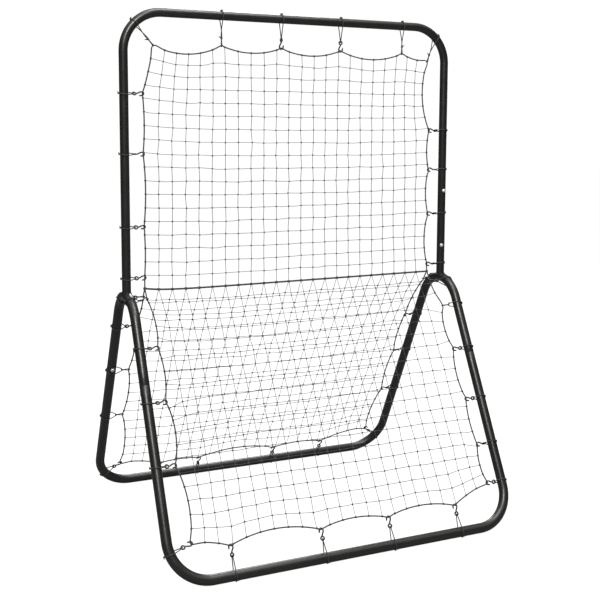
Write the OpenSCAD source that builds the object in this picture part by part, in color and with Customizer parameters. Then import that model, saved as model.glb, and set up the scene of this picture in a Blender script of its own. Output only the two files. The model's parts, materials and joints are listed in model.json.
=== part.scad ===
// Pitch-back rebounder: a bolted steel tube frame that carries three nets.
// Origin: ground level, midway between the side frames and the foot bars.
// +X to the thrower's right, +Y towards the back, +Z up.

/* [Frame] */
// Distance between the centrelines of the two side frames
axis_w = 1180; // [1000:10:1300]
// Overall height
frame_h = 1700; // [1600:10:1750]
// Overall depth over the two foot bars
foot_depth = 966; // [900:2:1000]
// Height at which the centrelines of a front and a rear leg would meet
leg_meet_z = 929; // [900:1:960]
// Tube diameter of the legs and foot bars
leg_d = 31.8; // [30:0.1:33]
// Tube diameter of the upper frame and posts
upright_d = 28.6; // [26:0.1:29]
// Tube wall thickness
wall = 1.2; // [1:0.1:1.5]
// Centreline radius of the upper and lower corner bends
corner_r = 125; // [100:5:150]
// Centreline radius of the bend on top of each side arch
apex_r = 120; // [100:5:130]

/* [Tube joints] */
// Height of the seam between a post and the upper frame
seam_z = 1003; // [980:1:1030]
// Length of the sleeve inside each upright joint
sleeve_len = 270; // [240:10:300]
// Distance between the two bolts of an upright joint
bolt_span = 200; // [180:5:220]
// Seam of each leg, measured down the leg from where the legs would meet
leg_seam = 438; // [420:2:480]
// Length of the reduced end of an arch inside a leg
swage_len = 75; // [60:5:90]
// Distance from a leg seam to its bolt
leg_bolt_drop = 35; // [25:1:45]

/* [Nets] */
// Height of the waist rope
waist_z = 808; // [806:1:812]
// Left edge of the nets
net_left = -530; // [-535:1:-525]
// Right edge of the nets
net_right = 532; // [525:1:536]
// Gap from the top bar's centreline to the upper net's rope
net_top_gap = 95; // [85:1:105]
// Gap from the front bar's centreline to the front net's rope
front_gap = 85; // [75:1:95]
// Gap from the rear bar's centreline to the rear net's rope
rear_gap = 60; // [58:1:70]
// Thickness of the sheet that stands for each open net
net_thick = 1; // [0.8:0.1:2]
// Border rope diameter
rope_d = 4; // [3:0.5:5]
// Waist rope diameter
waist_d = 6; // [5:0.5:7]

/* [Ties] */
// Diameter of the elastic cord
elastic_d = 3; // [2:0.5:3.5]
// Diameter of the hook wire
wire_d = 3; // [2.5:0.5:3]
// Centreline radius of a hook's closed eye
eye_r = 5.5; // [5.5:0.1:6]
// Centreline radius of a hook's open end
open_r = 6; // [5.5:0.5:7]
// Wire length between the eye and the open end
shank = 13; // [10:1:14]

/* [Hidden] */
$fn = 48;

hw = axis_w / 2;
leg_ro = leg_d / 2;
leg_ri = leg_ro - wall;
up_ro = upright_d / 2;
up_ri = up_ro - wall;
top_z = frame_h - up_ro;
bar_z = leg_ro;
foot_y = (foot_depth - leg_d) / 2;
leg_rise = leg_meet_z - bar_z;
lean = atan(foot_y / leg_rise);
leg_len = norm([foot_y, leg_rise]);
apex_cz = leg_meet_z - apex_r / sin(lean);
apex_top_z = apex_cz + apex_r;
bend_end = apex_r / tan(lean);
slip = 0.1;
// A bend laps over the straight run that it meets, and stands this much proud of it
bend_lap = 1.5;
bend_step = 0.05;
swage_ro = leg_ri - slip;
sleeve_ro = up_ri - slip;
sleeve_wall = 2;
through = 1;

// Bolts and threaded inserts
bolt_r = 2.95;
bolt_hole_r = 3.3;
insert_r = 4.5;
insert_bore_r = 3;
insert_len = 11;
bolt_len = 15;
head_r = 6.5;
head_h = 4;
socket_r = 2;
socket_depth = 2.2;
left_turn = 180;
lower_bolt_turn = -20;

// Net planes, in the slanted frame of a foot frame: x across, y inwards, z up the leg
waist_gap = 5.5;
waist_drop = 5;
top_in = [foot_y - waist_gap, waist_z - waist_drop - bar_z];
net_top_v = top_in[0] * sin(lean) + top_in[1] * cos(lean);
net_top_o = top_in[0] * cos(lean) - top_in[1] * sin(lean);
rope_corner_r = 40;
rear_corner_r = 60;
rope_top_z = top_z - net_top_gap;
rope_end_gap = 6;
net_clear = 0.3;
cord_gap = 0.3;
band_r = elastic_d / 2;
strand_r = band_r - 0.2;
wire_r = wire_d / 2;
rope_r = rope_d / 2;
hook_seat = open_r - wire_r - rope_r - cord_gap;
hook_len = open_r + shank + 2 * eye_r;
open_gap = 80;

// Places of the ties along the tubes
top_x = [-264, -52, 170, 413];
left_z = [1430, 1240, 1007, 843];
right_z = [1321, 1180, 1020, 835];
front_left_v = [705, 533, 340];
front_right_v = [770, 608, 427, 269, 138];
front_x = [-399, -102, 136, 387];
rear_left_v = [729, 540, 333];
rear_right_v = [682, 508, 312];
rear_x = [-356, -202, 108, 316];
// Places whose cord is knotted straight onto the rope, without a hook
direct_x = [-264, 413];
direct_v = [770, 540, 333, 508];
// Turn of each corner tie round its bend, from the leg's end of the bend: left, then right
front_corner_turns = [16];
rear_corner_turns = [35, 35];
apex_tie_turn = 24;
apex_tie_drop = 24;

black = [0.09, 0.09, 0.09];
cord_black = [0.12, 0.12, 0.12];
zinc = [0.8, 0.8, 0.82];

// Offset of a lower net from its leg plane at the distance v up the leg
function net_offset(v, gap) = net_top_o * (v - gap) / (net_top_v - gap);
function diag(r) = r / sqrt(2);
function listed(value, list) = len([for (v = list) if (v == value) v]) > 0;

module front_plane() {
  translate([0, -foot_y, bar_z]) rotate([-lean, 0, 0]) children();
}

module rear_plane() {
  translate([0, foot_y, bar_z]) rotate([lean, 0, 0]) children();
}

// Turns +Z to the direction v
module aim(v) {
  rotate([0, acos(v[2] / norm(v)), atan2(v[1], v[0])]) children();
}

module ring(r, wire, angle = 360) {
  rotate_extrude(angle = angle) translate([r, 0]) circle(wire);
}

// A planar U lying in XZ: the bar at z = 0, the legs rising to leg_top
module u_solid(r, leg_top) {
  translate([-(hw - corner_r), 0, 0]) rotate([0, 90, 0]) cylinder(r = r, h = 2 * (hw - corner_r));
  for (s = [-1, 1]) {
    translate([s * hw, 0, corner_r]) cylinder(r = r, h = leg_top - corner_r);
    translate([s * (hw - corner_r), 0, corner_r]) rotate([90, 0, 0])
      rotate([0, 0, s > 0 ? -90 : 180]) ring(corner_r, r, 90);
  }
}

module u_tube(ro, ri, leg_top) {
  difference() {
    u_solid(ro, leg_top);
    u_solid(ri, leg_top + through);
  }
}

module upper_frame() {
  color(black) difference() {
    translate([0, 0, top_z]) mirror([0, 0, 1]) u_tube(up_ro, up_ri, top_z - seam_z);
    upright_holes(bolt_hole_r, up_ri - through);
  }
}

module foot_frame(turns) {
  color(black) difference() {
    u_tube(leg_ro, leg_ri, leg_len - leg_seam);
    leg_holes(turns, bolt_hole_r, leg_ri - through);
  }
}

// The bent arch of one side: apex bend, two straight runs and their reduced ends
module arch_solid(r, end_r, run, end) {
  apex_bend(r);
  for (s = [-1, 1]) translate([0, 0, leg_meet_z]) rotate([s * lean, 0, 0]) {
    translate([0, 0, -run]) cylinder(r = r - bend_step, h = run - bend_end + bend_lap);
    translate([0, 0, -end]) cylinder(r = end_r, h = end - run);
  }
}

module arch(x, side) {
  color(black) difference() {
    translate([x, 0, 0]) difference() {
      arch_solid(leg_ro, swage_ro, leg_seam, leg_seam + swage_len);
      arch_solid(leg_ri, swage_ro - wall, leg_seam - wall, leg_seam + swage_len + through);
    }
    front_plane() leg_hole(side, 1, insert_r, swage_ro - 2 * wall);
    rear_plane() leg_hole(side, side, insert_r, swage_ro - 2 * wall);
  }
}

module post(x) {
  color(black) difference() {
    translate([x, 0, apex_top_z]) cylinder(r = up_ro, h = seam_z - apex_top_z);
    translate([x, 0, apex_top_z - through]) cylinder(r = up_ri, h = seam_z - apex_top_z + 2 * through);
    translate([x, 0, 0]) apex_bend(leg_ro);
    upright_holes(bolt_hole_r, up_ri - through);
  }
}

module apex_bend(r) {
  translate([0, 0, apex_cz]) rotate([90, 0, 90]) rotate([0, 0, lean])
    ring(apex_r, r, 180 - 2 * lean);
}

// The bead that joins a post to its arch
module weld(x) {
  bead = 2.8;
  color(black) translate([x, 0, 0]) difference() {
    intersection() {
      translate([0, 0, apex_top_z + bead]) cylinder(r = up_ro + bead, h = leg_ro + bead);
      apex_bend(leg_ro + bead);
    }
    apex_bend(leg_ro);
    translate([0, 0, apex_top_z]) cylinder(r = up_ro, h = 2 * leg_ro);
  }
}

module sleeve(x) {
  color(black) difference() {
    translate([x, 0, seam_z - sleeve_len / 2]) cylinder(r = sleeve_ro, h = sleeve_len);
    translate([x, 0, seam_z - sleeve_len / 2 - through])
      cylinder(r = sleeve_ro - sleeve_wall, h = sleeve_len + 2 * through);
    upright_holes(insert_r, sleeve_ro - 2 * sleeve_wall);
  }
}

// Puts its children at each upright bolt, with +Z pointing out of the tube
module at_upright_bolts() {
  for (s = [-1, 1], e = [-1, 1])
    translate([s * hw, 0, seam_z + e * bolt_span / 2])
      rotate([0, 0, (s < 0 ? left_turn : 0) + (e < 0 ? lower_bolt_turn : 0)])
        rotate([90, 0, 0]) children();
}

module upright_holes(r, from) {
  at_upright_bolts() translate([0, 0, from]) cylinder(r = r, h = up_ro);
}

// A leg's bolt faces backwards where its turn is 1 and forwards where it is -1
module at_leg_bolt(side, turn) {
  translate([side * hw, 0, leg_len - leg_seam - leg_bolt_drop])
    rotate([-90 * turn, 0, 0]) children();
}

module leg_hole(side, turn, r, from) {
  at_leg_bolt(side, turn) translate([0, 0, from]) cylinder(r = r, h = leg_ro);
}

module leg_holes(turns, r, from) {
  for (i = [0, 1]) leg_hole(2 * i - 1, turns[i], r, from);
}

module at_leg_bolts() {
  for (s = [-1, 1]) {
    front_plane() at_leg_bolt(s, 1) children();
    rear_plane() at_leg_bolt(s, s) children();
  }
}

module bolt(seat) {
  translate([0, 0, seat]) difference() {
    union() {
      translate([0, 0, -bolt_len]) cylinder(r = bolt_r, h = bolt_len);
      rotate_extrude() polygon([[0, 0], [head_r, 0], [head_r, 1], [head_r - 1, 2.6],
                                [head_r - 2.8, head_h], [0, head_h]]);
    }
    translate([0, 0, head_h - socket_depth]) cylinder(r = socket_r, h = head_h, $fn = 6);
  }
}

// A threaded insert, flush with the outside of the tube that holds it
module insert(seat) {
  translate([0, 0, seat - insert_len]) difference() {
    cylinder(r = insert_r, h = insert_len);
    translate([0, 0, -through]) cylinder(r = insert_bore_r, h = insert_len + 2 * through);
  }
}

// A net panel in XZ, w by h: a thin sheet inside the net's ropes, with round lower corners
module net_panel(w, h, rope_corner) {
  r = rope_corner - edge_in;
  translate([0, net_thick / 2, 0]) rotate([90, 0, 0]) linear_extrude(net_thick) {
    translate([0, r]) square([w, h - r]);
    translate([r, 0]) square([w - 2 * r, h]);
    for (x = [r, w - r]) translate([x, r]) circle(r);
  }
}

edge_in = open_r + wire_r - hook_seat + 1;
net_w = net_right - net_left - 2 * edge_in;

module net_upper() {
  low = waist_z + waist_d / 2 + net_clear;
  high = rope_top_z - edge_in;
  color(cord_black) translate([net_left + edge_in, 0, high]) mirror([0, 0, 1])
    net_panel(net_w, high - low, rope_corner_r);
}

// Puts its children in a lower net's plane, with z = 0 at its bottom rope
module net_plane(gap, inward) {
  slope = atan(net_top_o / (net_top_v - gap));
  translate([0, 0, gap]) rotate([-inward * slope, 0, 0]) children();
}

function net_len(gap) = norm([net_top_o, net_top_v - gap]);

module lower_net(gap, inward, rope_corner) {
  color(cord_black) net_plane(gap, inward) translate([net_left + edge_in, 0, edge_in])
    net_panel(net_w, net_len(gap) - edge_in, rope_corner);
}

// A rope along three sides, with its ends at the waist
module rope_u(len, r) {
  color(cord_black) {
    translate([net_left + r, 0, 0]) rotate([0, 90, 0])
      cylinder(r = rope_r, h = net_right - net_left - 2 * r);
    for (s = [-1, 1]) {
      translate([s < 0 ? net_left : net_right, 0, r]) cylinder(r = rope_r, h = len - r);
      translate([s < 0 ? net_left + r : net_right - r, 0, r]) rotate([90, 0, 0])
        rotate([0, 0, s > 0 ? -90 : 180]) ring(r, rope_r, 90);
    }
  }
}

// Where a tie's cord leaves its band: the band's nearest point to the anchor
function cord_start(t, tube_r) =
  let (n = t[2] / norm(t[2]), d = t[1] - t[0], flat = d - (d * n) * n)
  t[0] + (tube_r + cord_gap + band_r) * flat / norm(flat);

// An elastic cord: a band round the tube, and a run towards the anchor
module tie(t, tube_r, opening = 0, turn = 0) {
  from = cord_start(t, tube_r);
  stop = t[3] ? hook_seat + hook_len + wire_r + cord_gap : rope_r + cord_gap;
  translate(t[0]) aim(t[2]) rotate([0, 0, turn])
    ring(tube_r + cord_gap + band_r, band_r, 360 - opening);
  translate(from) aim(t[1] - from) cylinder(r = strand_r, h = norm(t[1] - from) - stop);
}

// A wire hook: an open end that holds the rope, a shank and a closed eye
module hook(t, tube_r) {
  from = cord_start(t, tube_r);
  translate(from) aim(t[1] - from) translate([0, 0, norm(t[1] - from) - hook_seat]) {
    rotate([0, 90, 0]) rotate([0, 0, 90 + open_gap / 2]) ring(open_r, wire_r, 360 - open_gap);
    translate([0, 0, -open_r - shank]) cylinder(r = wire_r, h = shank);
    translate([0, 0, -open_r - shank - eye_r]) rotate([0, 90, 0]) ring(eye_r, wire_r);
  }
}

// Each tie is [start on the tube's centreline, anchor on the rope, tube direction, hooked]
upper_corner = [hw - corner_r + diag(corner_r), top_z - corner_r + diag(corner_r)];
upper_ties = concat(
  [for (x = top_x) [[x, 0, top_z], [x, 0, rope_top_z], [1, 0, 0], !listed(x, direct_x)]],
  [for (z = left_z) [[-hw, 0, z], [net_left, 0, z], [0, 0, 1], true]],
  [for (z = right_z) [[hw, 0, z], [net_right, 0, z], [0, 0, 1], true]],
  [[[-upper_corner[0], 0, upper_corner[1]],
    [net_left + rope_corner_r - diag(rope_corner_r), 0,
     rope_top_z - rope_corner_r + diag(rope_corner_r)], [1, 0, 1], false],
   [[upper_corner[0], 0, upper_corner[1]],
    [net_right - rope_corner_r + diag(rope_corner_r), 0,
     rope_top_z - rope_corner_r + diag(rope_corner_r)], [-1, 0, 1], false]]);

// Ties of a lower net, in the slanted frame of its foot frame
function leg_ties(left_v, right_v, gap, inward) = concat(
  [for (v = left_v) [[-hw, 0, v], [net_left, inward * net_offset(v, gap), v], [0, 0, 1],
                     !listed(v, direct_v)]],
  [for (v = right_v) [[hw, 0, v], [net_right, inward * net_offset(v, gap), v], [0, 0, 1],
                      !listed(v, direct_v)]]);

function bar_ties(xs, gap) = [for (x = xs) [[x, 0, 0], [x, 0, gap], [1, 0, 0], true]];

function corner_ties(gap, r, turns) =
  [for (i = [0:len(turns) - 1])
     let (s = 2 * i - 1, a = turns[i], edge = s < 0 ? net_left : net_right)
     [[s * (hw - corner_r + corner_r * cos(a)), 0, corner_r - corner_r * sin(a)],
      [edge - s * (r - diag(r)), 0, gap + r - diag(r)], [-s * sin(a), 0, -cos(a)], true]];

front_leg_ties = concat(leg_ties(front_left_v, front_right_v, front_gap, 1),
                        corner_ties(front_gap, rope_corner_r, front_corner_turns));
rear_leg_ties = concat(leg_ties(rear_left_v, rear_right_v, rear_gap, -1),
                       corner_ties(rear_gap, rear_corner_r, rear_corner_turns));

apex_ties = [for (s = [-1, 1], e = [-1, 1])
  let (edge = s < 0 ? net_left : net_right,
       y = e * apex_r * sin(apex_tie_turn),
       drop = apex_tie_drop * [e * tan(lean + 4), -1])
  [[s * hw, y, apex_cz + apex_r * cos(apex_tie_turn)],
   [edge, e * waist_gap + drop[0], waist_z - waist_drop + drop[1]],
   [0, cos(apex_tie_turn), -e * sin(apex_tie_turn)], true]];

module upper_set() {
  for (t = upper_ties) tie(t, up_ro);
}

// The bands round a foot bar stay open where the bar rests on the ground
module foot_set(legs, bars, down) {
  for (t = legs) tie(t, leg_ro);
  for (t = bars) tie(t, leg_ro, open_gap, down);
}

module hook_set(list, tube_r) {
  for (t = list) if (t[3]) hook(t, tube_r);
}

front_down = lean + open_gap / 2;
rear_down = -lean + open_gap / 2;

module ties_upper() { color(cord_black) upper_set(); }
module ties_apex() { color(cord_black) for (t = apex_ties) tie(t, leg_ro); }
module ties_front() {
  color(cord_black) front_plane() foot_set(front_leg_ties, bar_ties(front_x, front_gap), front_down);
}
module ties_rear() {
  color(cord_black) rear_plane() foot_set(rear_leg_ties, bar_ties(rear_x, rear_gap), rear_down);
}
module hooks_upper() { color(black) hook_set(upper_ties, up_ro); }
module hooks_apex() { color(black) hook_set(apex_ties, leg_ro); }
module hooks_front() {
  color(black) front_plane() hook_set(concat(front_leg_ties, bar_ties(front_x, front_gap)), leg_ro);
}
module hooks_rear() {
  color(black) rear_plane() hook_set(concat(rear_leg_ties, bar_ties(rear_x, rear_gap)), leg_ro);
}

module post_left() { post(-hw); }
module post_right() { post(hw); }
module weld_left() { weld(-hw); }
module weld_right() { weld(hw); }
module arch_left() { arch(-hw, -1); }
module arch_right() { arch(hw, 1); }
module sleeve_left() { sleeve(-hw); }
module sleeve_right() { sleeve(hw); }
module front_foot_frame() { front_plane() foot_frame([1, 1]); }
module rear_foot_frame() { rear_plane() foot_frame([-1, 1]); }
module upright_bolts() { color(zinc) at_upright_bolts() bolt(up_ro); }
module upright_nuts() { color(zinc) at_upright_bolts() insert(sleeve_ro); }
module leg_bolts() { color(zinc) at_leg_bolts() bolt(leg_ro); }
module leg_nuts() { color(zinc) at_leg_bolts() insert(swage_ro); }
module net_front() { front_plane() lower_net(front_gap, 1, rope_corner_r); }
module net_rear() { rear_plane() lower_net(rear_gap, -1, rear_corner_r); }
module rope_upper() {
  translate([0, 0, rope_top_z]) mirror([0, 0, 1])
    rope_u(rope_top_z - waist_z - rope_end_gap, rope_corner_r);
}
module rope_front() { front_plane() net_plane(front_gap, 1) rope_u(net_len(front_gap), rope_corner_r); }
module rope_rear() { rear_plane() net_plane(rear_gap, -1) rope_u(net_len(rear_gap), rear_corner_r); }
module rope_waist() {
  color(cord_black) translate([net_left, 0, waist_z]) rotate([0, 90, 0])
    cylinder(r = waist_d / 2, h = net_right - net_left);
}

upper_frame();
post_left();
post_right();
weld_left();
weld_right();
arch_left();
arch_right();
front_foot_frame();
rear_foot_frame();
sleeve_left();
sleeve_right();
upright_bolts();
upright_nuts();
leg_bolts();
leg_nuts();
net_upper();
net_front();
net_rear();
rope_upper();
rope_front();
rope_rear();
rope_waist();
ties_upper();
ties_apex();
ties_front();
ties_rear();
hooks_upper();
hooks_apex();
hooks_front();
hooks_rear();
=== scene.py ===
"""Looks of the pitch back rebounder: steel tubes, knotted nets, ropes, elastic ties and wire hooks."""

import json
from math import acos, atan2, cos, degrees, exp, hypot, pi, radians, sin, sqrt, tan

import bpy
import numpy as np
from mathutils import Matrix, Vector


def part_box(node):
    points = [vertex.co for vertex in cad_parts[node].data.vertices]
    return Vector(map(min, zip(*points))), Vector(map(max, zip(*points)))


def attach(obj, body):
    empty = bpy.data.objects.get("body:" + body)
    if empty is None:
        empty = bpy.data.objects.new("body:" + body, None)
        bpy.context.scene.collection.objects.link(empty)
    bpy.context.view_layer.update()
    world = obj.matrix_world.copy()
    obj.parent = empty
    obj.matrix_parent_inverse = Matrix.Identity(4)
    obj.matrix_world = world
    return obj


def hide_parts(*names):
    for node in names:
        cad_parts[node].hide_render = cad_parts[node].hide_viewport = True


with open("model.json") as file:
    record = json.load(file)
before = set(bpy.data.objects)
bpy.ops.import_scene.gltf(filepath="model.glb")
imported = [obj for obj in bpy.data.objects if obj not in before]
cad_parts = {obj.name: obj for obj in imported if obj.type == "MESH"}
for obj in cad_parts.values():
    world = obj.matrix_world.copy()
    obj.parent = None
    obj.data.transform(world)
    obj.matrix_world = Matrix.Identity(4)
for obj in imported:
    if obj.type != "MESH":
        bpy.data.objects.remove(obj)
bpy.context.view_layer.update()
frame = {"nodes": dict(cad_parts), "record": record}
rng = np.random.default_rng(24)
MM = 0.001

# ---------------------------------------------------------------- sizes from the frame
upper_lo, upper_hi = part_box("upper_frame")
foot_lo, foot_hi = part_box("front_foot_frame")
waist_lo, waist_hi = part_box("rope_waist")
rope_lo, rope_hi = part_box("rope_upper")
UP_R = (upper_hi.y - upper_lo.y) / 2
HALF_W = upper_hi.x - UP_R
TOP_Z = upper_hi.z - UP_R
SEAM_Z = upper_lo.z
LEG_R = foot_hi.x - HALF_W
BAR_Z = foot_lo.z + LEG_R
FOOT_Y = -foot_lo.y - LEG_R
WAIST_Z = (waist_lo.z + waist_hi.z) / 2
WAIST_R = (waist_hi.z - waist_lo.z) / 2
NET_LEFT, NET_RIGHT = waist_lo.x, waist_hi.x
ROPE_R = (rope_hi.y - rope_lo.y) / 2
ROPE_TOP = rope_hi.z - ROPE_R

# Named as in the part's source
CORNER_R = 125 * MM
APEX_R = 120 * MM
LEG_MEET_Z = 929 * MM
LEG_SEAM = 438 * MM
WALL = 1.2 * MM
WAIST_GAP, WAIST_DROP = 5.5 * MM, 5 * MM
LEAN = atan2(FOOT_Y, LEG_MEET_Z - BAR_Z)
LEG_LEN = hypot(FOOT_Y, LEG_MEET_Z - BAR_Z)
APEX_CZ = LEG_MEET_Z - APEX_R / sin(LEAN)

# Cords and hooks
CORD_R = 1.65 * MM
FLOOR_GAP = 1.0 * MM
# How far a band spreads along its tube: upright and leg, then bar, where its strands cross
BAND_SPREAD, BAR_SPREAD = 4.0 * MM, -1.8 * MM
DIRECT_KNOT = 23 * MM
WIRE_R = 2.45 * MM
OPEN_R, EYE_R, SHANK = 6 * MM, 5.5 * MM, 13 * MM
HOOK_SEAT = 2.2 * MM
EYE_AT = HOOK_SEAT + OPEN_R + SHANK + EYE_R

# Nets and ropes. A pull is the rope's tension on each side of a net, against the mesh's own
COLUMNS, ROWS = 23, 18
ACROSS_PULL = 0.55
TWINE_R = 0.92 * MM
WRAP_R = 0.85 * MM
BORDER_R = ROPE_R + 0.25 * MM
WAIST_ROPE_R = WAIST_R * 1.05
WAIST_DROOP = 10.5 * MM
# The leg ties hold the rope close to the leg's own plane: this share of the flat net's offset
LEG_PLANE_SHARE = 0.15

# Places of the ties, as in the part's source, in millimetres: x along a bar, z up an upright, v up a leg.
# DIRECT lists the ties without a hook. A slack says how far a net's corner is pulled in from its straight
# edges, sideways and then up or down. Hooks turn about their shanks, and eyes against their hooks, in
# degrees, in the order in which the ties are made.
DIRECT_X, DIRECT_V = [-264, 413], [770, 540, 333, 508]
UPPER = {
    "top_x": [-264, -52, 170, 413],
    "left_z": [1430, 1240, 1007, 843],
    "right_z": [1321, 1180, 1020, 835],
    "slack": ((36 * MM, 8 * MM), (13 * MM, 24 * MM)),
    "pull": {"left": 13.0, "far": 5.5, "right": 3.6},
    "hook_turns": [0, 245, 250, 0, 70, 112, 60, 95, 84, 104, 95, 78],
    "eye_turns": [0, 60, 20, 0, 65, 75, 60, 30, 65, 72, 60, 75],
}
FRONT = {
    "side": -1,
    "gap": 85 * MM,
    "left_v": [705, 533, 340],
    "right_v": [770, 608, 427, 269, 138],
    "bar_x": [-399, -102, 136, 387],
    "corner_turns": [16],
    "slack": ((12 * MM, 26 * MM),),
    "pull": {"left": 5.0, "far": 8.5, "right": 4.8},
    "hook_turns": [95, 80, 100, 0, 86, 74, 105, 90, 112, 122, 108, 118, 96],
    "eye_turns": [25, 40, 10, 0, 20, 35, 60, 10, 30, 12, 20, 35, 15],
}
REAR = {
    "side": 1,
    "gap": 60 * MM,
    "left_v": [729, 540, 333],
    "right_v": [682, 508, 312],
    "bar_x": [-356, -202, 108, 316],
    "corner_turns": [35, 35],
    "slack": ((19 * MM, 30 * MM), (20 * MM, 42 * MM)),
    "pull": {"left": 7.5, "far": 8.5, "right": 6.5},
    "hook_turns": [85, 0, 0, 95, 0, 100, 60, 110, 105, 118, 85, 95],
    "eye_turns": [5, 0, 0, 20, 0, 15, 70, 50, 25, 10, 15, 30],
}
APEX = {"hook_turns": [100, 70, 60, 110], "eye_turns": [20, 50, 30, 60]}
APEX_TURN = radians(24)
APEX_DROP = 24 * MM


def V(*p):
    """A point or a direction."""
    return np.array(p, float)


def unit(v):
    """The direction of v."""
    return v / np.linalg.norm(v)


def diag(r):
    """The leg of a right-angled isosceles triangle whose long side is r."""
    return r / sqrt(2)


def plane(side, x, inward, v):
    """A point of a foot frame's slanted plane: v up the leg, inward off the plane. side is -1 in front."""
    return V(x, side * (FOOT_Y - inward * cos(LEAN) - v * sin(LEAN)),
             BAR_Z - inward * sin(LEAN) + v * cos(LEAN))


TOP_IN = (FOOT_Y - WAIST_GAP, WAIST_Z - WAIST_DROP - BAR_Z)
NET_TOP_V = TOP_IN[0] * sin(LEAN) + TOP_IN[1] * cos(LEAN)
NET_TOP_O = TOP_IN[0] * cos(LEAN) - TOP_IN[1] * sin(LEAN)


def net_offset(v, gap):
    """How far inside the leg's plane a flat lower net lies, v up the leg."""
    return NET_TOP_O * (v - gap) / (NET_TOP_V - gap)


# ---------------------------------------------------------------- mesh helpers
def add_piece(name, mesh, material, replaces=None):
    """Makes a mesh one smooth piece that rides on the body."""
    mesh.polygons.foreach_set("use_smooth", [True] * len(mesh.polygons))
    mesh.materials.append(material)
    obj = bpy.data.objects.new(name, mesh)
    bpy.context.scene.collection.objects.link(obj)
    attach(obj, "root")
    if replaces:
        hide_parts(replaces)


def smooth_path(points, steps=4):
    """A Catmull-Rom curve through the points."""
    p = np.asarray(points, float)
    p = np.vstack([2 * p[0] - p[1], p, 2 * p[-1] - p[-2]])
    out = []
    for a, b, c, d in zip(p, p[1:], p[2:], p[3:]):
        for t in np.arange(steps) / steps:
            out.append(0.5 * (2 * b + (c - a) * t + (2 * a - 5 * b + 4 * c - d) * t * t
                              + (3 * b - 3 * c + d - a) * t ** 3))
    out.append(p[-2])
    return np.array(out)


class Sweep:
    """Collects round tubes along paths, then makes them one mesh with UVs along and around."""

    def __init__(self):
        self.verts, self.faces, self.uvs, self.count = [], [], [], 0

    def tube(self, path, radius, sides=8, closed=False, start=0.0):
        """Adds a tube. start is the length along its cord at which its UVs begin."""
        p = np.asarray(path, float)
        n = len(p)
        nxt = np.roll(p, -1, 0) if closed else np.vstack([p[1:], 2 * p[-1] - p[-2]])
        prv = np.roll(p, 1, 0) if closed else np.vstack([2 * p[0] - p[1], p[:-1]])
        tang = nxt - prv
        tang /= np.linalg.norm(tang, axis=1)[:, None]
        ref = V(0, 0, 1) if abs(tang[0][2]) < 0.9 else V(1, 0, 0)
        side = unit(np.cross(tang[0], ref))
        rings = []
        radii = np.broadcast_to(radius, (n,))
        ang = 2 * pi * np.arange(sides) / sides
        for i in range(n):
            side = unit(side - tang[i] * side.dot(tang[i]))
            up = np.cross(tang[i], side)
            rings.append(p[i] + radii[i] * (np.cos(ang)[:, None] * side + np.sin(ang)[:, None] * up))
        base = self.count
        self.verts.append(np.vstack(rings))
        self.count += n * sides
        length = np.concatenate([[0], np.cumsum(np.linalg.norm(np.diff(p, axis=0), axis=1))]) + start
        spans = n if closed else n - 1
        for i in range(spans):
            j = (i + 1) % n
            u0, u1 = length[i], length[j] if j else length[i] + np.linalg.norm(p[0] - p[-1])
            for k in range(sides):
                m = (k + 1) % sides
                self.faces.append((base + i * sides + k, base + i * sides + m,
                                   base + j * sides + m, base + j * sides + k))
                self.uvs += [(u0, k / sides), (u0, (k + 1) / sides), (u1, (k + 1) / sides), (u1, k / sides)]
        if not closed:
            for ring, order in ((0, -1), (n - 1, 1)):
                ids = [base + ring * sides + k for k in range(sides)][::order]
                self.faces.append(tuple(ids))
                self.uvs += [(length[ring], 0.5)] * sides

    def make(self, name, material, slot, replaces=None):
        """Makes one piece of all the tubes so far."""
        mesh = bpy.data.meshes.new(name)
        mesh.from_pydata(np.vstack(self.verts).tolist(), [], self.faces)
        layer = mesh.uv_layers.new(name="run")
        layer.data.foreach_set("uv", np.array(self.uvs, float).ravel())
        mesh.validate()
        add_piece(name, mesh, material, replaces)


# ---------------------------------------------------------------- materials
class Shader:
    """A node material: a Principled surface and short calls for its texture nodes."""

    def __init__(self, name, **sockets):
        self.mat = bpy.data.materials.new(name)
        self.mat.use_nodes = True
        self.tree = self.mat.node_tree
        self.bsdf = self.tree.nodes["Principled BSDF"]
        for key, value in sockets.items():
            self.bsdf.inputs[key.replace("_", " ")].default_value = value
        self.coord = self.tree.nodes.new("ShaderNodeTexCoord")

    def node(self, kind, links=(), **props):
        n = self.tree.nodes.new(kind)
        for key, value in props.items():
            setattr(n, key, value)
        for socket, source in links:
            if hasattr(source, "is_output"):
                self.tree.links.new(source, n.inputs[socket])
            else:
                n.inputs[socket].default_value = source
        return n

    def noise(self, scale, detail=3.0, rough=0.55, vector=None):
        links = [("Vector", vector or self.coord.outputs["Object"]), ("Scale", scale),
                 ("Detail", detail), ("Roughness", rough)]
        return self.node("ShaderNodeTexNoise", links).outputs["Fac"]

    def math(self, op, a, b=0.0, c=0.0):
        return self.node("ShaderNodeMath", [(0, a), (1, b), (2, c)], operation=op).outputs[0]

    def ramp(self, value, low, high, out_low, out_high):
        links = [("Value", value), ("From Min", low), ("From Max", high),
                 ("To Min", out_low), ("To Max", out_high)]
        return self.node("ShaderNodeMapRange", links).outputs["Result"]

    def mix(self, factor, a, b):
        n = self.node("ShaderNodeMix", data_type="RGBA")
        for socket, source in ((0, factor), (6, a), (7, b)):
            if hasattr(source, "is_output"):
                self.tree.links.new(source, n.inputs[socket])
            else:
                n.inputs[socket].default_value = source
        return n.outputs[2]

    def to(self, socket, source):
        self.tree.links.new(source, self.bsdf.inputs[socket])

    def bump(self, height, distance, strength=1.0):
        n = self.node("ShaderNodeBump", [("Height", height), ("Distance", distance), ("Strength", strength)])
        self.to("Normal", n.outputs["Normal"])


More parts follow.
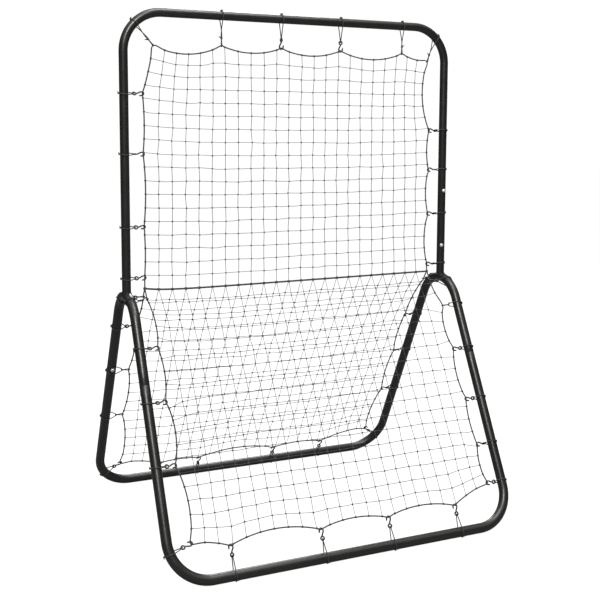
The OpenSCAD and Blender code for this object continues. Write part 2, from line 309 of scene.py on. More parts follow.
def powder_coat():
    """Satin black powder coat: faint patches, fine grain and orange peel."""
    s = Shader("powder_coat", Roughness=0.42, IOR=1.5, Coat_Weight=0.15, Coat_Roughness=0.35)
    patches = s.noise(6.0, 4.0)
    grain = s.noise(900.0, 2.0)
    peel = s.noise(420.0, 1.5)
    dark, light = (0.0095, 0.0090, 0.0080, 1), (0.0150, 0.0142, 0.0125, 1)
    base = s.mix(s.ramp(patches, 0.35, 0.7, 0.0, 1.0), dark, light)
    s.to("Base Color", s.mix(s.ramp(grain, 0.45, 0.75, 0.0, 0.5), base, (0.026, 0.025, 0.022, 1)))
    rubbed = s.math("ADD", s.noise(35.0, 5.0), s.math("MULTIPLY", grain, 0.3))
    s.to("Roughness", s.ramp(rubbed, 0.4, 0.95, 0.27, 0.42))
    s.bump(s.math("ADD", peel, s.math("MULTIPLY", grain, 0.35)), 0.00008, 0.4)
    return s.mat


def steel(name, color, rough, metal=1.0):
    """Bare or plated steel, stained in small spots."""
    s = Shader(name, Metallic=metal)
    stain = s.noise(160.0, 5.0)
    dark = tuple(c * 0.55 for c in color) + (1,)
    s.to("Base Color", s.mix(s.ramp(stain, 0.3, 0.75, 0.0, 1.0), dark, color + (1,)))
    s.to("Roughness", s.ramp(s.noise(500.0, 4.0), 0.3, 0.7, rough - 0.08, rough + 0.14))
    s.bump(s.noise(1500.0, 3.0), 0.00005, 0.4)
    return s.mat


def strands(s, pitch, count, cross):
    """Height of twisted or braided strands from the UVs: u runs along in metres, v round from 0 to 1."""
    uv = s.node("ShaderNodeUVMap", uv_map="run").outputs["UV"]
    split = s.node("ShaderNodeSeparateXYZ", [("Vector", uv)])
    along = s.math("MULTIPLY", split.outputs["X"], 1.0 / pitch)
    around = s.math("MULTIPLY", split.outputs["Y"], float(count))
    height = s.math("PINGPONG", s.math("ADD", along, around), 0.5)
    if cross:
        other = s.math("PINGPONG", s.math("SUBTRACT", along, around), 0.5)
        height = s.math("MAXIMUM", height, other)
    return s.math("MULTIPLY", height, 2.0)


def cordage(name, dark, light, pitch, count, depth, cross=False, rough=0.8, sheen=0.25):
    """Twisted twine, or braided cord where cross is set, with fuzz and with painted shade that darkens the
    grooves between its strands.
    """
    s = Shader(name, Roughness=rough, Sheen_Weight=sheen, Sheen_Roughness=0.6, IOR=1.45)
    height = strands(s, pitch, count, cross)
    fuzz = s.noise(2600.0, 3.0, 0.7)
    # Painted shade: the colour darkens where the strand relief is low, in the grooves between strands, times
    # a random fuzz tone of the cord's own
    painted_groove_shade_and_fuzz = s.math("MULTIPLY", s.ramp(height, 0.1, 0.9, 0.15, 1.0), s.ramp(fuzz, 0.3, 0.75, 0.55, 1.0))
    s.to("Base Color", s.mix(painted_groove_shade_and_fuzz, dark + (1,), light + (1,)))
    s.to("Roughness", s.ramp(fuzz, 0.3, 0.7, rough - 0.12, min(rough + 0.12, 1.0)))
    s.bump(s.math("ADD", height, s.math("MULTIPLY", fuzz, 0.4)), depth, 0.8)
    return s.mat


def wire_coat():
    """Black coated wire, paler where it is worn."""
    s = Shader("hook_coat", Roughness=0.36, IOR=1.5, Coat_Weight=0.3, Coat_Roughness=0.25)
    worn = s.noise(240.0, 5.0, 0.65)
    dark, bare = (0.006, 0.006, 0.006, 1), (0.028, 0.027, 0.025, 1)
    s.to("Base Color", s.mix(s.ramp(worn, 0.55, 0.8, 0.0, 0.6), dark, bare))
    s.to("Roughness", s.ramp(worn, 0.3, 0.8, 0.35, 0.55))
    s.bump(s.noise(900.0, 2.0), 0.00006, 0.5)
    return s.mat


COAT = powder_coat()
ZINC = steel("zinc_plate", (0.92, 0.92, 0.91), 0.38, 0.45)
YELLOW_ZINC = steel("yellow_zinc", (0.78, 0.70, 0.48), 0.34)
BARE = steel("drawn_steel", (0.58, 0.58, 0.60), 0.34)
TWINE = cordage("net_twine", (0.010, 0.010, 0.010), (0.050, 0.050, 0.052), 2.2 * MM, 3, 0.00022)
ROPE = cordage("border_rope", (0.008, 0.008, 0.008), (0.040, 0.040, 0.042), 3.4 * MM, 4, 0.0004,
               cross=True)
LASH = cordage("lashing_twine", (0.009, 0.009, 0.009), (0.045, 0.045, 0.047), 2.0 * MM, 3, 0.0002)
ELASTIC = cordage("elastic_cord", (0.007, 0.007, 0.007), (0.034, 0.033, 0.033), 1.9 * MM, 5, 0.00018,
                  cross=True, rough=0.62, sheen=0.1)
HOOK = wire_coat()


# ---------------------------------------------------------------- steel frame
def arc(centre, a, b, radius, start, stop, step=3.0):
    """Points on a circle in the plane of the unit vectors a and b, angles in degrees."""
    count = max(2, int(abs(stop - start) / step) + 1)
    t = np.radians(np.linspace(start, stop, count))
    return centre + radius * (np.cos(t)[:, None] * a + np.sin(t)[:, None] * b)


def run(p, q, step=0.04):
    """Evenly spaced points on a straight line."""
    n = max(2, int(np.linalg.norm(q - p) / step) + 1)
    return p + np.linspace(0, 1, n)[:, None] * (q - p)


def joined(*parts):
    """One path from several, with no point twice where two meet."""
    out = [parts[0]]
    for part in parts[1:]:
        out.append(part[1:] if np.linalg.norm(part[0] - out[-1][-1]) < 1e-6 else part)
    return np.vstack(out)


def u_path(point, leg_top):
    """A U from the top of the left leg, round the bar, to the top of the right leg. point maps (x, v)."""
    c, w = CORNER_R, HALF_W
    left, right = point(-1, 0) - point(0, 0), point(1, 0) - point(0, 0)
    down = point(0, 0) - point(0, 1)
    return joined(run(point(-w, leg_top), point(-w, c)),
                  arc(point(-(w - c), c), left, down, c, 0, 90),
                  run(point(-(w - c), 0), point(w - c, 0)),
                  arc(point(w - c, c), down, right, c, 0, 90),
                  run(point(w, c), point(w, leg_top)))


def tube_shell(name, path, radius, replaces, lip=0.6 * MM, depth=25 * MM):
    """A round tube with rounded rims, open at both ends, with its bore to a depth at each."""
    p = np.asarray(path, float)
    bore = radius - WALL

    def rim(end, way):
        """Rings from inside the bore, over the rim at end, to the outside. way points into the tube."""
        near = end + way * 0.2 * lip
        return [(end + way * depth, bore), (end + way * lip, bore), (near, bore + 0.25 * WALL),
                (end, bore + 0.5 * WALL), (near, radius - 0.2 * WALL), (end + way * lip, radius)]

    first, last = unit(p[1] - p[0]), unit(p[-1] - p[-2])
    rings = rim(p[0], first) + [(q, radius) for q in p[1:-1]] + rim(p[-1], -last)[::-1]
    skin_rings(name, rings, p, replaces)


def skin_rings(name, rings, p, replaces, sides=48):
    """Skins rings of (centre, radius) whose planes follow the path's tangent nearest to each centre."""
    tang = np.gradient(p, axis=0)
    tang /= np.linalg.norm(tang, axis=1)[:, None]
    side = unit(np.cross(tang[0], V(0, 1, 0) if abs(tang[0][1]) < 0.9 else V(1, 0, 0)))
    frames = []
    for t in tang:
        side = unit(side - t * side.dot(t))
        frames.append((side, np.cross(t, side)))
    ang = 2 * pi * np.arange(sides) / sides
    verts, faces = [], []
    for c, r in rings:
        a, b = frames[int(np.argmin(((p - c) ** 2).sum(1)))]
        verts.append(c + r * (np.cos(ang)[:, None] * a + np.sin(ang)[:, None] * b))
    for i in range(len(rings) - 1):
        for k in range(sides):
            m = (k + 1) % sides
            faces.append((i * sides + k, i * sides + m, (i + 1) * sides + m, (i + 1) * sides + k))
    mesh = bpy.data.meshes.new(name)
    mesh.from_pydata(np.vstack(verts).tolist(), [], faces)
    add_piece(name, mesh, COAT, replaces)


def build_frame():
    """The five bent tubes: the upper frame, two foot frames and two arches."""
    upper = u_path(lambda x, v: V(x, 0, TOP_Z - v), TOP_Z - SEAM_Z)
    tube_shell("upper_tube", upper, UP_R, "upper_frame")
    for side, name in ((-1, "front"), (1, "rear")):
        foot = u_path(lambda x, v, s=side: plane(s, x, 0, v), LEG_LEN - LEG_SEAM)
        tube_shell(name + "_foot_tube", foot, LEG_R, name + "_foot_frame")
    turn = 90 - degrees(LEAN)
    for side, name in ((-1, "left"), (1, "right")):
        x = side * HALF_W
        bend = arc(V(x, 0, APEX_CZ), V(0, 0, 1), V(0, 1, 0), APEX_R, -turn, turn)
        ends = [plane(s, x, 0, LEG_LEN - LEG_SEAM) for s in (-1, 1)]
        tube_shell(name + "_arch_tube", joined(run(ends[0], bend[0]), bend, run(bend[-1], ends[1])),
                   LEG_R, "arch_" + name)


def tune_cad_materials():
    """Gives the CAD nodes that stay, the posts, welds, sleeves, bolts and inserts, their finished looks."""
    looks = {"frame_coat": COAT, "sleeve_steel": BARE, "bolt_zinc": ZINC, "insert_steel": YELLOW_ZINC}
    slots = {row["node"]: row["material_slot"] for row in frame["record"]["subparts"]}
    for name, obj in frame["nodes"].items():
        look = looks.get(slots[name])
        if look:
            for k in range(len(obj.material_slots)):
                obj.material_slots[k].material = look


# ---------------------------------------------------------------- ties
class Tie:
    """A tie's tube point, rope anchor and tube direction, in the row frame."""

    def __init__(self, tube, anchor, axis, tube_r, hooked):
        self.tube, self.anchor, self.axis = tube, anchor, unit(axis)
        self.tube_r, self.hooked = tube_r, hooked
        d = anchor - tube
        self.out = unit(d - self.axis * d.dot(self.axis))
        self.back = unit(tube + self.out * (tube_r + 1.8 * MM) - anchor)
        self.turn = 90.0
        self.eye_turn = 0.0

    def curl(self, turn):
        """The direction towards a hook's open side, turned about its shank."""
        a = unit(np.cross(self.back, self.axis))
        return cos(turn) * a + sin(turn) * np.cross(self.back, a)


def upper_ties():
    """Four on the top bar, four on each upright, then the two corners."""
    out = [Tie(V(x * MM, 0, TOP_Z), V(x * MM, 0, ROPE_TOP), V(1, 0, 0), UP_R, x not in DIRECT_X)
           for x in UPPER["top_x"]]
    for x, edge, places in ((-HALF_W, NET_LEFT, UPPER["left_z"]), (HALF_W, NET_RIGHT, UPPER["right_z"])):
        out += [Tie(V(x, 0, z * MM), V(edge, 0, z * MM), V(0, 0, 1), UP_R, True) for z in places]
    cx, cz = HALF_W - CORNER_R + diag(CORNER_R), TOP_Z - CORNER_R + diag(CORNER_R)
    for s, edge, (inward, down) in zip((-1, 1), (NET_LEFT, NET_RIGHT), UPPER["slack"]):
        anchor = V(edge - s * inward, 0, ROPE_TOP - down)
        out.append(Tie(V(s * cx, 0, cz), anchor, V(-s, 0, 1), UP_R, False))
    return out


def lower_ties(panel):
    """Those on the left leg, the right leg, the bar and then the corners, of a slanting net."""
    side, gap = panel["side"], panel["gap"]
    up, cross = plane(side, 0, 0, 1) - plane(side, 0, 0, 0), V(1, 0, 0)
    out = []
    for s, edge, places in ((-1, NET_LEFT, panel["left_v"]), (1, NET_RIGHT, panel["right_v"])):
        for v in places:
            anchor = plane(side, edge, LEG_PLANE_SHARE * net_offset(v * MM, gap), v * MM)
            out.append(Tie(plane(side, s * HALF_W, 0, v * MM), anchor, up, LEG_R, v not in DIRECT_V))
    for x in panel["bar_x"]:
        out.append(Tie(plane(side, x * MM, 0, 0), plane(side, x * MM, 0, gap), cross, LEG_R, True))
    corners = zip((-1, 1), (NET_LEFT, NET_RIGHT), np.radians(panel["corner_turns"]), panel["slack"])
    for s, edge, turn, (inward, lift) in corners:
        x = s * (HALF_W - CORNER_R + CORNER_R * cos(turn))
        tube = plane(side, x, 0, CORNER_R - CORNER_R * sin(turn))
        anchor = plane(side, edge - s * inward, 0, gap + lift)
        out.append(Tie(tube, anchor, cross * -s * sin(turn) - up * cos(turn), LEG_R, True))
    return out


def apex_ties():
    """Two at each arch, in front of the post and behind it."""
    out = []
    for s, edge in ((-1, NET_LEFT), (1, NET_RIGHT)):
        for e in (-1, 1):
            out.append(Tie(V(s * HALF_W, e * APEX_R * sin(APEX_TURN), APEX_CZ + APEX_R * cos(APEX_TURN)),
                           V(edge, e * (WAIST_GAP + APEX_DROP * tan(LEAN + radians(4))),
                             WAIST_Z - WAIST_DROP - APEX_DROP),
                           V(0, cos(APEX_TURN), -e * sin(APEX_TURN)), LEG_R, True))
    return out


def knot_path(centre, a, b, size, steps=24):
    """A small closed trefoil, as a tight knot, in the frame of a, b and their normal."""
    c = np.cross(a, b)
    t = np.linspace(0, 2 * pi, steps, endpoint=False)
    x = (np.sin(t) + 2 * np.sin(2 * t)) / 3
    y = (np.cos(t) - 2 * np.cos(2 * t)) / 3
    z = -np.sin(3 * t) * 0.55
    return centre + size * (x[:, None] * a + y[:, None] * b + z[:, None] * c)


def cord_loop(sweep, tie, turn_at, pinch=1.5 * MM, crossing=1):
    """An elastic loop round the tube, with both strands running to turn_at."""
    axis, out = tie.axis, tie.out
    spread = BAR_SPREAD if abs(axis[0]) > 0.5 else BAND_SPREAD
    m = np.cross(axis, out)
    ring = tie.tube_r + CORD_R + 0.1 * MM
    phi = acos(min(0.98, ring / (turn_at - tie.tube).dot(out)))
    angles = np.linspace(phi, 2 * pi - phi, 34)
    band = [tie.tube + ring * (cos(t) * out + sin(t) * m) + axis * (-spread * (t - pi) / (pi - phi))
            for t in angles]
    band = [V(p[0], p[1], max(p[2], FLOOR_GAP)) for p in band]
    back = unit(tie.tube - turn_at)
    tip = [turn_at + m * CORD_R * 1.15 * s * crossing + axis * pinch * 0.4 * s + back * 1.2 * MM
           for s in (1, -1)]

    def strand(end, f):
        """A point on one of the two strands, f from 0 at its tip to 1 at the band."""
        bow = axis * pinch * (-1) ** end * sin(pi * f) * 0.3
        return tip[end] + f * (band[-end] - tip[end]) + bow

    first = [strand(0, f) for f in (0.0, 0.25, 0.5, 0.75)]
    last = [strand(1, f) for f in (0.75, 0.5, 0.25, 0.0)]
    sweep.tube(np.vstack([first, band, last, [turn_at - back * 0.6 * MM]]), CORD_R, sides=10, closed=True)
    band_knot(sweep, tie, m, ring)


def band_knot(sweep, tie, m, ring):
    """The knot with its short tail, on the far side of the tube, or on the outer side of a foot bar."""
    outside = -tie.out
    if tie.tube[2] - tie.tube_r < FLOOR_GAP:
        outside = unit(V(outside[0], outside[1], 0) + V(0, 0, -0.2))
    bead = tie.tube + outside * (ring + 1.3 * MM)
    sweep.tube(knot_path(bead, tie.axis, m, 2.3 * MM), 1.25 * MM, sides=8, closed=True)
    tail = [bead, bead + outside * 1.2 * MM + tie.axis * 3 * MM, bead + tie.axis * 6 * MM + outside * MM]
    sweep.tube(smooth_path(tail, 4), CORD_R * 0.9, sides=8)


def direct_tie(sweep, tie, k):
    """A loop knotted straight on the rope, without a hook."""
    back = tie.back
    m = unit(np.cross(tie.axis, back))
    a = np.cross(back, m)
    knot = tie.anchor + back * DIRECT_KNOT
    cord_loop(sweep, tie, knot, pinch=6 * MM)
    sweep.tube(knot_path(knot, back, a, 2.6 * MM), CORD_R, sides=8, closed=True)
    around = ROPE_R + CORD_R
    hoop = [knot + m * 1.3 * MM, knot - back * 8 * MM + m * 1.5 * MM]
    hoop += [tie.anchor + around * (cos(t) * m - sin(t) * back) for t in np.linspace(0, pi, 9)]
    hoop += [knot - back * 8 * MM - m * 1.5 * MM, knot - m * 1.3 * MM]
    sweep.tube(smooth_path(hoop, 2), CORD_R, sides=10)
    lean = 1 if k % 2 else -1
    tail = [knot, knot + a * lean * 4 * MM + back * 2 * MM, knot + a * lean * 9 * MM + back * 6 * MM]
    sweep.tube(smooth_path(tail, 4), CORD_R * 0.95, sides=8)


def hook_path(tie):
    """A hook's wire from its open tip, over the rope and down the shank, round its eye."""
    turn = radians(tie.turn)
    w, e = tie.curl(turn), tie.curl(turn + radians(tie.eye_turn))

    def at(x, y):
        """x back along the shank from the rope, y towards the open side."""
        return tie.anchor + tie.back * x + w * y

    tip = [at(HOOK_SEAT + 7.5 * MM, 7.4 * MM), at(HOOK_SEAT + 4 * MM, 6.3 * MM)]
    over = [at(HOOK_SEAT - OPEN_R * sin(t), OPEN_R * cos(t)) for t in np.linspace(0, pi, 13)]
    shank = [at(HOOK_SEAT + x * MM, -y * MM) for x, y in ((4, 5.8), (8, 4.4), (12, 2.2), (15.5, 0.7))]
    eye = tie.anchor + tie.back * EYE_AT
    ring = [eye - tie.back * EYE_R * cos(t) + e * EYE_R * sin(t) for t in np.linspace(0, 2 * pi - 0.25, 25)]
    return smooth_path(tip + over + shank + ring, 3), eye


def make_ties(name, hooks_name, ties):
    """One piece with every cord of a panel, and one with every hook."""
    cords, hooks = Sweep(), Sweep()
    for k, tie in enumerate(ties):
        if not tie.hooked:
            direct_tie(cords, tie, k)
            continue
        path, eye = hook_path(tie)
        radii = np.full(len(path), WIRE_R)
        radii[:3] = WIRE_R * np.array([0.45, 0.85, 1.0])
        hooks.tube(path, radii, sides=10)
        cord_loop(cords, tie, eye + tie.back * (EYE_R - WIRE_R - CORD_R), crossing=1 if k % 3 else -1)
    cords.make(name + "_cords", ELASTIC, "elastic_cord", name)
    hooks.make(hooks_name + "_wires", HOOK, "hook_wire", hooks_name)


def turn_hooks(ties, panel):
    """Turns each hook about its shank, and its eye against its open end."""
    for tie, turn, eye in zip(ties, panel["hook_turns"], panel["eye_turns"]):
        tie.turn, tie.eye_turn = turn, eye


# ---------------------------------------------------------------- nets
def waist_point(s):
    """The waist rope's centreline, s from 0 at the left to 1 at the right: it droops near its left end."""
    droop = WAIST_DROOP * (1 - exp(-s / 0.06)) * (1 - s)
    return V(NET_LEFT + s * (NET_RIGHT - NET_LEFT), 0, WAIST_Z - droop)


class Net:
    """A square-mesh net, pulled out by its rope's anchors. place maps (across, away) from 0 to 1."""

    def __init__(self, name, place, corners, anchors, pull, waist_shift, belly):
        self.name = name
        n, m = COLUMNS + 1, ROWS + 1
        self.across, self.away = unit(place(1, 0) - place(0, 0)), unit(place(0, 1) - place(0, 0))
        self.normal = np.cross(self.across, self.away)
        self.pitch = np.linalg.norm(place(0, 0) - place(1, 0)) / COLUMNS
        self.grid = np.arange(n * m).reshape(n, m)
        self.chain, self.anchored = [], set()
        points = [place(i / COLUMNS, j / ROWS) for i in range(n) for j in range(m)]
        pinned = {self.grid[i, 0]: waist_point(i / COLUMNS) + waist_shift for i in range(n)}
        pinned[self.grid[0, ROWS]], pinned[self.grid[COLUMNS, ROWS]] = corners
        edges = self.mesh_edges() + self.rope_edges(points, pinned, anchors, pull)
        self.pos = self.balance(len(points), pinned, edges)
        self.loosen(belly)

    def mesh_edges(self):
        """Springs along the strands, as (node, node, stiffness)."""
        edges = []
        for i in range(COLUMNS + 1):
            for j in range(ROWS + 1):
                if i < COLUMNS and 0 < j < ROWS:
                    edges.append((self.grid[i, j], self.grid[i + 1, j], ACROSS_PULL))
                if j < ROWS and 0 < i < COLUMNS:
                    edges.append((self.grid[i, j], self.grid[i, j + 1], 1.0))
        return edges

    def rope_edges(self, points, pinned, anchors, pull):
        """Springs along the border rope. Its anchors join points, and are pinned."""
        sides = (("left", self.grid[0], np.arange(ROWS + 1) / ROWS),
                 ("far", self.grid[:, ROWS], np.arange(COLUMNS + 1) / COLUMNS),
                 ("right", self.grid[COLUMNS, ::-1], 1 - np.arange(ROWS, -1, -1) / ROWS))
        edges = []
        for side, nodes, along in sides:
            stops = list(zip(along, nodes))
            for where, q in anchors[side]:
                points.append(q)
                pinned[len(points) - 1] = q
                self.anchored.add(len(points) - 1)
                stops.append((1 - where if side == "right" else where, len(points) - 1))
            stops.sort()
            for (_, a), (_, b) in zip(stops, stops[1:]):
                length = max(np.linalg.norm(points[a] - points[b]), 0.12 * self.pitch)
                edges.append((a, b, pull[side] * self.pitch / length))
            self.chain += [k for _, k in stops][(1 if self.chain else 0):]
        return edges

    def balance(self, count, pinned, edges):
        """Each node's place where the springs balance, with the pinned nodes held."""
        stiff = np.zeros((count, count))
        for a, b, k in edges:
            stiff[a, a] += k
            stiff[b, b] += k
            stiff[a, b] -= k
            stiff[b, a] -= k
        free = [k for k in range(count) if k not in pinned]
        fixed = sorted(pinned)
        held = np.array([pinned[k] for k in fixed])
        pos = np.zeros((count, 3))
        pos[free] = np.linalg.solve(stiff[np.ix_(free, free)], -stiff[np.ix_(free, fixed)] @ held)
        pos[fixed] = held
        return pos

    def loosen(self, belly):
        """Small errors in the knots' places, and a belly in the middle of the net."""
        for i in range(1, COLUMNS):
            for j in range(1, ROWS):
                bulge = sin(pi * i / COLUMNS) * sin(pi * j / ROWS)
                self.pos[self.grid[i, j]] += (
                    self.across * rng.normal(0, 0.9 * MM) + self.away * rng.normal(0, 0.9 * MM)
                    + self.normal * rng.normal(0, 1.2 * MM) + belly * bulge)

    def twine(self, sweep):
        """The strands, slightly slack between their knots, and the knots."""
        pos, grid = self.pos, self.grid
        for line in [grid[:, j] for j in range(1, ROWS)] + [grid[i, :] for i in range(1, COLUMNS)]:
            path = [pos[line[0]]]
            for a, b in zip(line, line[1:]):
                p, q = pos[a], pos[b]
                slack = min(rng.exponential(0.45), 2.2) * MM
                way = unit(self.normal * rng.normal() + V(0, 0, -1.6) + self.across * rng.normal(0, 0.5))
                path += [p + (q - p) * 0.33 + way * slack, p + (q - p) * 0.67 + way * slack * 0.9, q]
            sweep.tube(path, TWINE_R, sides=6, start=rng.uniform(0, 0.002))
        for i in range(1, COLUMNS):
            for j in range(1, ROWS):
                turn = rng.uniform(-0.6, 0.6) + pi / 4
                a = cos(turn) * self.across + sin(turn) * self.away
                b = np.cross(self.normal, a)
                path = knot_path(pos[grid[i, j]], a, b, rng.uniform(2.2, 2.6) * MM, 15)
                sweep.tube(path, TWINE_R * 1.15, sides=5, closed=True)

    def rope(self, sweep, ties):
        """The border rope, passing through each hook from one face to the other."""
        pts = self.pos[self.chain]
        tang = np.gradient(pts, axis=0)
        path = []
        for p, t in zip(pts, tang):
            hook = [tie for tie in ties if tie.hooked and np.linalg.norm(tie.anchor - p) < MM]
            if hook:
                face = np.cross(hook[0].back, hook[0].curl(radians(hook[0].turn)))
                step = unit(t) * 5 * MM + face * (2 * MM if face.dot(t) > 0 else -2 * MM)
                inner = -hook[0].back * 0.8 * MM
                path += [p - step + inner, p, p + step + inner]
            else:
                path.append(p)
        sweep.tube(smooth_path(path, 3), BORDER_R, sides=10)

    def lashings(self, sweep):
        """Twine wraps where the mesh meets its rope."""
        pts = self.pos[self.chain]
        tang = np.gradient(pts, axis=0)
        for k, (node, p, t) in enumerate(zip(self.chain, pts, tang)):
            if node in self.anchored or k in (0, len(pts) - 1):
                continue
            wrap(sweep, p, unit(t), BORDER_R + 0.5 * MM, 3)


def wrap(sweep, centre, along, radius, turns, pitch=1.6 * MM):
    """A short coil of twine round a rope."""
    a = unit(np.cross(along, V(0.3, 0.8, 0.5)))
    b = np.cross(along, a)
    start = rng.uniform(0, 2 * pi)
    t = np.linspace(0, turns, turns * 10 + 1)
    ang = start + 2 * pi * t
    path = (centre + (np.cos(ang) * radius)[:, None] * a + (np.sin(ang) * radius)[:, None] * b
            + ((t - turns / 2) * pitch)[:, None] * along)
    sweep.tube(path, WRAP_R, sides=5)


def sort_anchors(ties, share):
    """Sorts a net's anchors into its rope's sides, each with its place along that side from 0 to 1."""
    out = {"left": [], "far": [], "right": []}
    for tie in ties:
        q = tie.anchor
        x = (q[0] - NET_LEFT) / (NET_RIGHT - NET_LEFT)
        if x < 1e-3:
            out["left"].append((share(q), q))
        elif x > 1 - 1e-3:
            out["right"].append((share(q), q))
        else:
            out["far"].append((x, q))
    return out


def upper_net(ties):
    """The upright net. Its last two ties hold its corners."""
    span, height = NET_RIGHT - NET_LEFT, ROPE_TOP - WAIST_Z

    def place(s, t):
        return V(NET_LEFT + s * span, 0, WAIST_Z + t * height)

    anchors = sort_anchors(ties[:-2], lambda q: (q[2] - WAIST_Z) / height)
    corners = ties[-2].anchor, ties[-1].anchor
    return Net("net_upper", place, corners, anchors, UPPER["pull"], V(0, 0, 0), V(0, 0.004, 0))


def lower_net(name, panel, ties, apex):
    """A slanting net. The ties nearest to its low corners hold them."""
    side = panel["side"]
    top, low = plane(side, 0, NET_TOP_O, NET_TOP_V), plane(side, 0, 0, panel["gap"])

    def place(s, t):
        return top + (low - top) * t + V(NET_LEFT + s * (NET_RIGHT - NET_LEFT), 0, 0)

    corners = [min(ties, key=lambda t, x=x: hypot(t.anchor[0] - x, t.anchor[2] - low[2]))
               for x in (NET_LEFT, NET_RIGHT)]
    mine = [t for t in ties if t not in corners] + [t for t in apex if t.anchor[1] * side > 0]
    anchors = sort_anchors(mine, lambda q: (q - top)[2] / (low - top)[2])
    shift = V(0, side * WAIST_R, -WAIST_R)
    return Net(name, place, [t.anchor for t in corners], anchors, panel["pull"], shift, V(0, 0, -0.006))


def make_net(net, ties):
    """A net's strands, its border rope and the lashings that join them."""
    twine, rope, lash = Sweep(), Sweep(), Sweep()
    net.twine(twine)
    twine.make(net.name + "_mesh", TWINE, "net_twine", net.name)
    net.rope(rope, ties)
    rope_name = net.name.replace("net", "rope")
    rope.make(rope_name + "_cord", ROPE, "net_rope", rope_name)
    net.lashings(lash)
    lash.make(net.name + "_lashings", LASH, "net_twine")


def make_waist_rope():
    """The thick rope that the three nets are lashed to."""
    waist, lash = Sweep(), Sweep()
    line = [waist_point(s) for s in np.linspace(0, 1, COLUMNS * 2 + 1)]
    waist.tube(smooth_path(line, 2), WAIST_ROPE_R, sides=12)
    waist.make("waist_rope", ROPE, "net_rope", "rope_waist")
    for i in range(COLUMNS + 1):
        wrap(lash, waist_point(i / COLUMNS), V(1, 0, 0), WAIST_ROPE_R + 0.5 * MM, 5)
    lash.make("waist_lashings", LASH, "net_twine")


def build_nets(upper, front, rear, apex):
    """The three nets and the waist rope. All nets are shaped before the first is drawn."""
    nets = [upper_net(upper), lower_net("net_front", FRONT, front, apex),
            lower_net("net_rear", REAR, rear, apex)]
    for net in nets:
        make_net(net, upper + front + rear + apex)
    make_waist_rope()


# ---------------------------------------------------------------- stage
def camera():
    """The viewing angle: from the front left, above the frame's middle, looking a little down."""
    yaw, pitch, roll = radians(24.67), radians(-5.97), radians(0.23)
    focal_px, distance, along, height = 985.4, 3.364, 0.018, 1.296
    back = Vector((-sin(yaw) * cos(pitch), -cos(yaw) * cos(pitch), -sin(pitch)))
    data = bpy.data.cameras.new("camera")
    cam = bpy.data.objects.new("camera", data)
    bpy.context.scene.collection.objects.link(cam)
    data.sensor_width = 36.0
    data.lens = focal_px * data.sensor_width / 600
    data.shift_y = -0.1
    cam.location = (along * cos(yaw) - distance * sin(yaw), -along * sin(yaw) - distance * cos(yaw), height)
    cam.rotation_mode = "QUATERNION"
    cam.rotation_quaternion = back.to_track_quat("Z", "Y") @ Matrix.Rotation(roll, 4, "Z").to_quaternion()
    data.clip_end = 100
    bpy.context.scene.camera = cam


def area(name, place, aim, size, watts):
    """A soft box that the camera doesn't see."""
    data = bpy.data.lights.new(name, "AREA")
    data.shape, data.size, data.size_y = "RECTANGLE", size[0], size[1]
    data.energy = watts
    obj = bpy.data.objects.new(name, data)
    bpy.context.scene.collection.objects.link(obj)
    obj.location = place
    obj.rotation_mode = "QUATERNION"
    obj.rotation_quaternion = (Vector(place) - Vector(aim)).to_track_quat("Z", "Y")
    obj.visible_camera = False


def floor_paint():
    """White paper: bright to the viewer, with a soft contact shadow, and much dimmer in reflections."""
    grey = (0.16, 0.16, 0.16, 1)
    s = Shader("floor_paint", Base_Color=grey, Roughness=0.9)
    glow = s.node("ShaderNodeEmission", [("Color", (1, 1, 1, 1)), ("Strength", 0.93)])
    sheet = s.node("ShaderNodeBsdfDiffuse", [("Color", grey)])
    lit = s.node("ShaderNodeAddShader", [(0, glow.outputs[0]), (1, sheet.outputs[0])])
    path = s.node("ShaderNodeLightPath")
    mix = s.node("ShaderNodeMixShader", [(0, path.outputs["Is Camera Ray"]), (1, s.bsdf.outputs[0]),
                                         (2, lit.outputs[0])])
    s.tree.links.new(mix.outputs[0], s.tree.nodes["Material Output"].inputs["Surface"])
    return s.mat


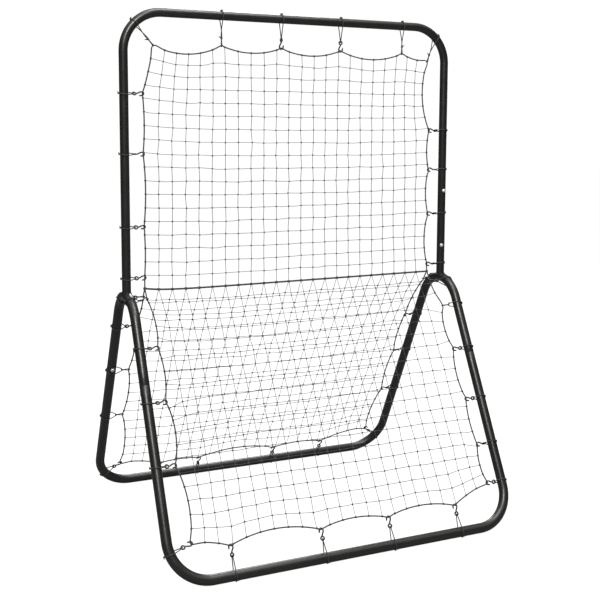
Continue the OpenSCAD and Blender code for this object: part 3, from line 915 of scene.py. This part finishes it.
def studio_light(tree):
    """A white backdrop to the viewer; for the light itself, a bright ceiling over dim walls."""
    tree.nodes.clear()
    new, link = tree.nodes.new, tree.links.new
    out, mix, path = new("ShaderNodeOutputWorld"), new("ShaderNodeMixShader"), new("ShaderNodeLightPath")
    seen, lit = new("ShaderNodeBackground"), new("ShaderNodeBackground")
    seen.inputs["Color"].default_value, seen.inputs["Strength"].default_value = (1, 1, 1, 1), 1.03
    coord, split, ramp = new("ShaderNodeTexCoord"), new("ShaderNodeSeparateXYZ"), new("ShaderNodeMapRange")
    ramp.interpolation_type = "SMOOTHSTEP"
    for socket, value in zip(("From Min", "From Max", "To Min", "To Max"), (0.35, 0.95, 0.04, 1.0)):
        ramp.inputs[socket].default_value = value
    link(coord.outputs["Generated"], split.inputs[0])
    link(split.outputs["Z"], ramp.inputs["Value"])
    link(ramp.outputs["Result"], lit.inputs["Strength"])
    link(path.outputs["Is Camera Ray"], mix.inputs[0])
    link(lit.outputs[0], mix.inputs[1])
    link(seen.outputs[0], mix.inputs[2])
    link(mix.outputs[0], out.inputs[0])


def stage():
    """The floor, the backdrop and three soft boxes."""
    mesh = bpy.data.meshes.new("floor")
    r, n = 40.0, 96
    ring = [(r * cos(2 * pi * k / n), r * sin(2 * pi * k / n), 0) for k in range(n)]
    mesh.from_pydata(ring, [], [tuple(range(n))])
    floor = bpy.data.objects.new("floor", mesh)
    bpy.context.scene.collection.objects.link(floor)
    mesh.materials.append(floor_paint())
    world = bpy.data.worlds.new("studio")
    bpy.context.scene.world = world
    world.use_nodes = True
    studio_light(world.node_tree)
    middle = (0, 0, 0.8)
    area("front_box", (-1.7, -3.5, 4.0), middle, (1.3, 2.4), 210)
    area("top_box", (0.2, -0.6, 4.8), middle, (2.0, 2.6), 120)
    area("back_box", (1.4, 4.0, 3.6), middle, (1.6, 2.0), 120)
    view = bpy.context.scene.view_settings
    view.view_transform, view.look = "Standard", "None"


camera()
tune_cad_materials()
build_frame()
upper, front, rear, apex = upper_ties(), lower_ties(FRONT), lower_ties(REAR), apex_ties()
for name, ties, panel in (("upper", upper, UPPER), ("front", front, FRONT), ("rear", rear, REAR),
                          ("apex", apex, APEX)):
    turn_hooks(ties, panel)
    make_ties("ties_" + name, "hooks_" + name, ties)
build_nets(upper, front, rear, apex)
stage()
